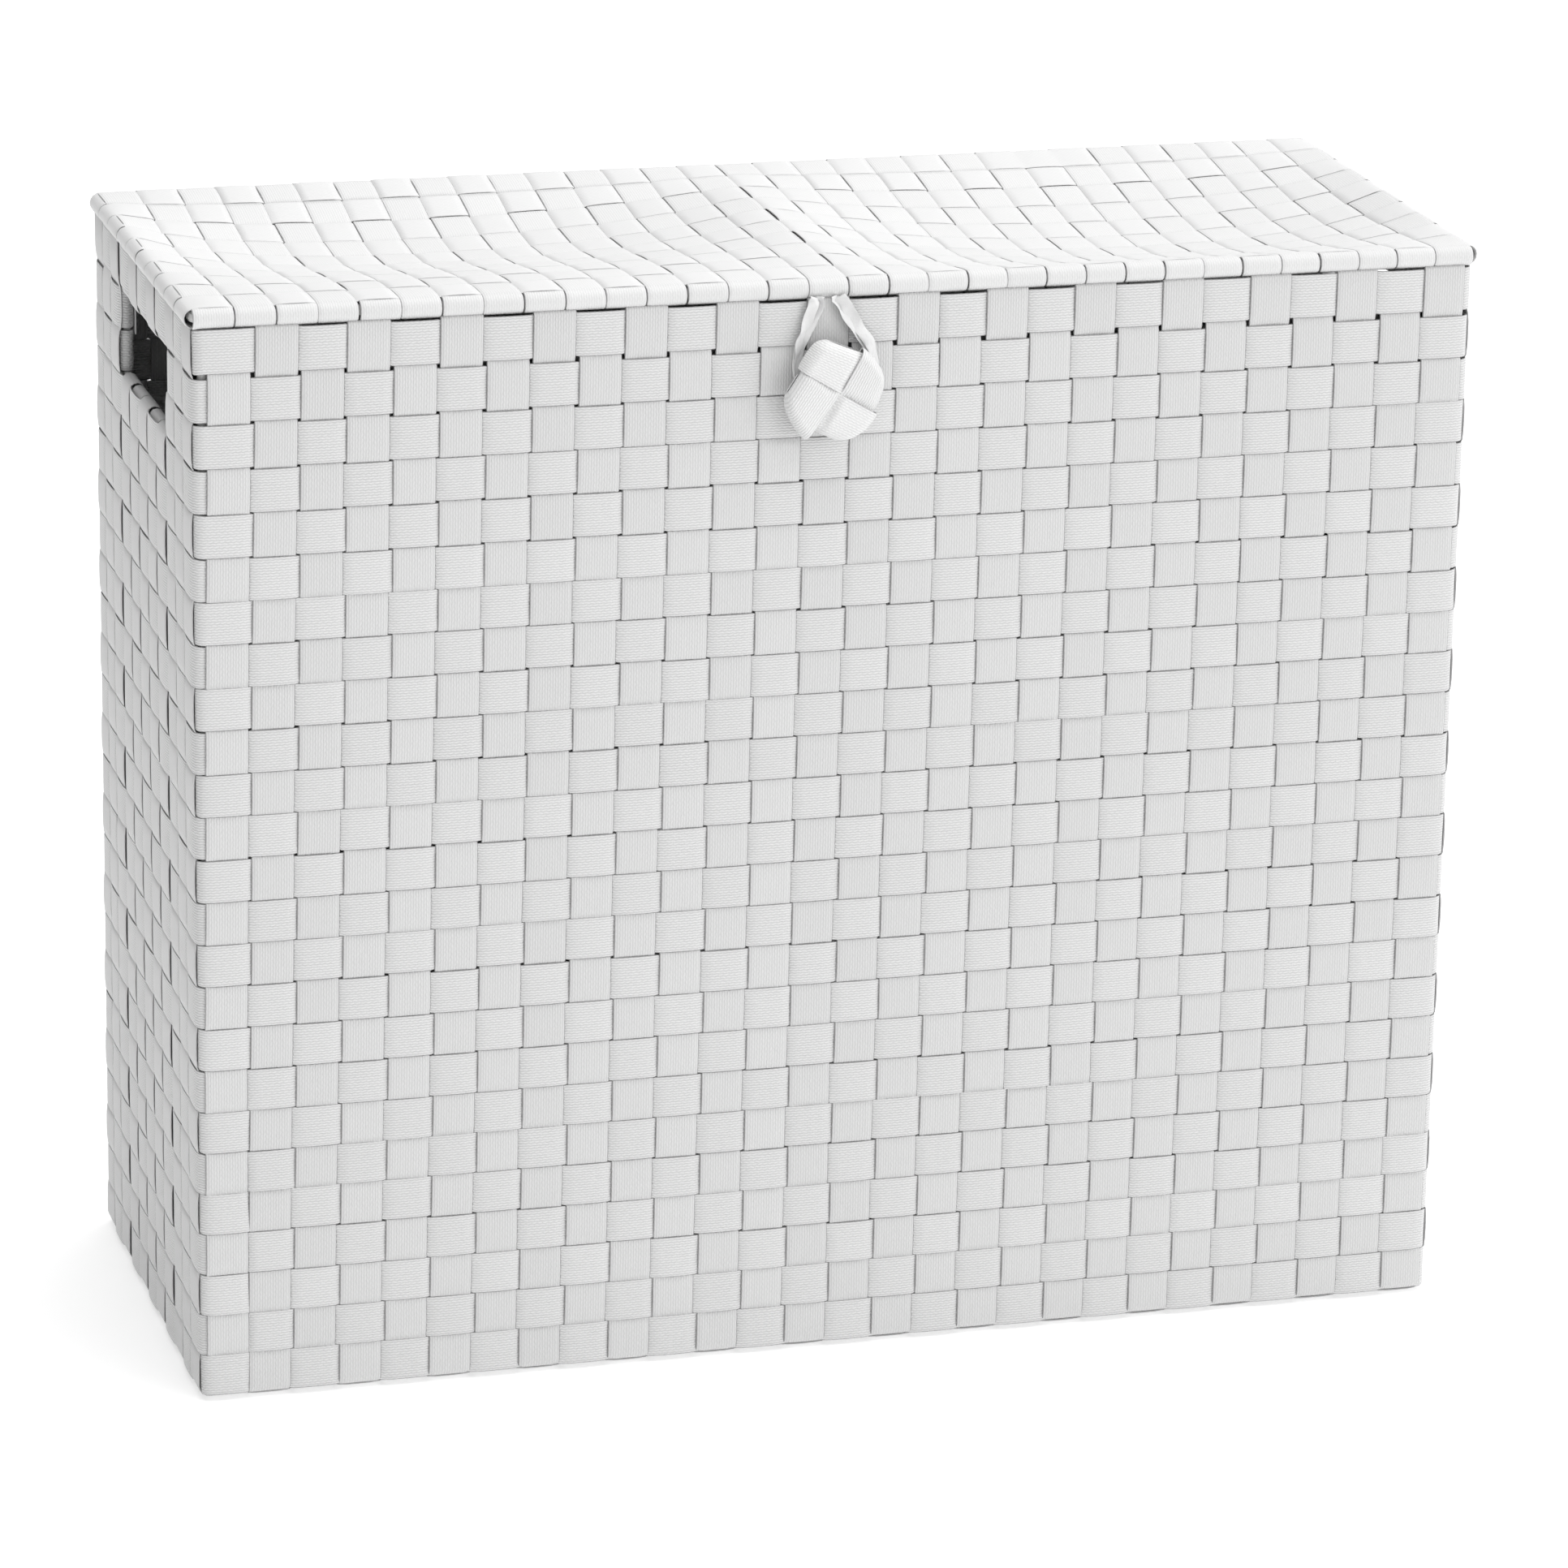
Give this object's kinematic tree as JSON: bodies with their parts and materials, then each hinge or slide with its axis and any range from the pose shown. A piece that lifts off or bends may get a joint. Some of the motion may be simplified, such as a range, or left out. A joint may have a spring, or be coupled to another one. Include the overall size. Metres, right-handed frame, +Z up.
{
  "type": "woven laundry hamper",
  "caption": "Rectangular laundry hamper woven from white flat straps on a wire frame, with a hinged woven lid, hand holes in the ends and a knotted ribbon pull.",
  "frame": {"origin": "on the floor under the middle of the hamper", "axes": "+Z up, front of the hamper towards -Y, +X to the right as seen from the front"},
  "size_m": [0.604, 0.2567, 0.5156],
  "materials": {
    "hoop_strap": "white ribbed polypropylene webbing, satin",
    "stake_strap": "white ribbed polypropylene webbing, satin",
    "lid_strap": "white ribbed polypropylene webbing, satin",
    "hinge_strap": "white ribbed polypropylene webbing, satin",
    "knot_strap": "white ribbed polypropylene webbing, folded flat",
    "pull_ribbon": "thin white crinkled ribbon, slightly sheer",
    "frame_wire": "white powder-coated steel wire"
  },
  "bodies": {
    "basket": {"top_ring": "frame_wire", "base_ring": "frame_wire", "corner_post_front_left": "frame_wire", "corner_post_front_right": "frame_wire", "corner_post_rear_left": "frame_wire", "corner_post_rear_right": "frame_wire", "base_crossbar_left": "frame_wire", "base_crossbar_right": "frame_wire", "hand_hole_wire_left": "frame_wire", "hand_hole_wire_right": "frame_wire", "hoop_01": "hoop_strap", "hoop_02_front": "hoop_strap", "hoop_02_rear": "hoop_strap", "hoop_03_front": "hoop_strap", "hoop_03_rear": "hoop_strap", "hoop_04": "hoop_strap", "hoop_05": "hoop_strap", "hoop_06": "hoop_strap", "hoop_07": "hoop_strap", "hoop_08": "hoop_strap", "hoop_09": "hoop_strap", "hoop_10": "hoop_strap", "hoop_11": "hoop_strap", "hoop_12": "hoop_strap", "hoop_13": "hoop_strap", "hoop_14": "hoop_strap", "hoop_15": "hoop_strap", "hoop_16": "hoop_strap", "hoop_17": "hoop_strap", "hoop_18": "hoop_strap", "hoop_19": "hoop_strap", "hoop_20": "hoop_strap", "hoop_21": "hoop_strap", "hoop_22": "hoop_strap", "hoop_23": "hoop_strap", "hoop_24": "hoop_strap", "hoop_25": "hoop_strap", "front_stakes": "stake_strap", "rear_stakes": "stake_strap", "left_stakes": "stake_strap", "right_stakes": "stake_strap", "base_weave": "stake_strap", "hinge_loop_left": "hinge_strap", "hinge_loop_right": "hinge_strap"},
    "lid": {"lid_ring": "frame_wire", "lid_crossbar": "frame_wire", "lid_weave": "lid_strap"},
    "pull": {"pull_ribbon_left": "pull_ribbon", "pull_ribbon_right": "pull_ribbon", "pull_knot": "knot_strap"}
  },
  "joints": [
    {"name": "lid_hinge", "type": "hinge", "parent": "basket", "child": "lid", "pos_m": [0, 0.1142, 0.5109], "axis": [-1, 0, 0], "range_deg": [0, 110]},
    {"name": "pull_swing", "type": "hinge", "parent": "lid", "child": "pull", "pos_m": [-0.005, -0.1153, 0.5109], "axis": [-1, 0, 0], "range_deg": [0, 150]}
  ]
}
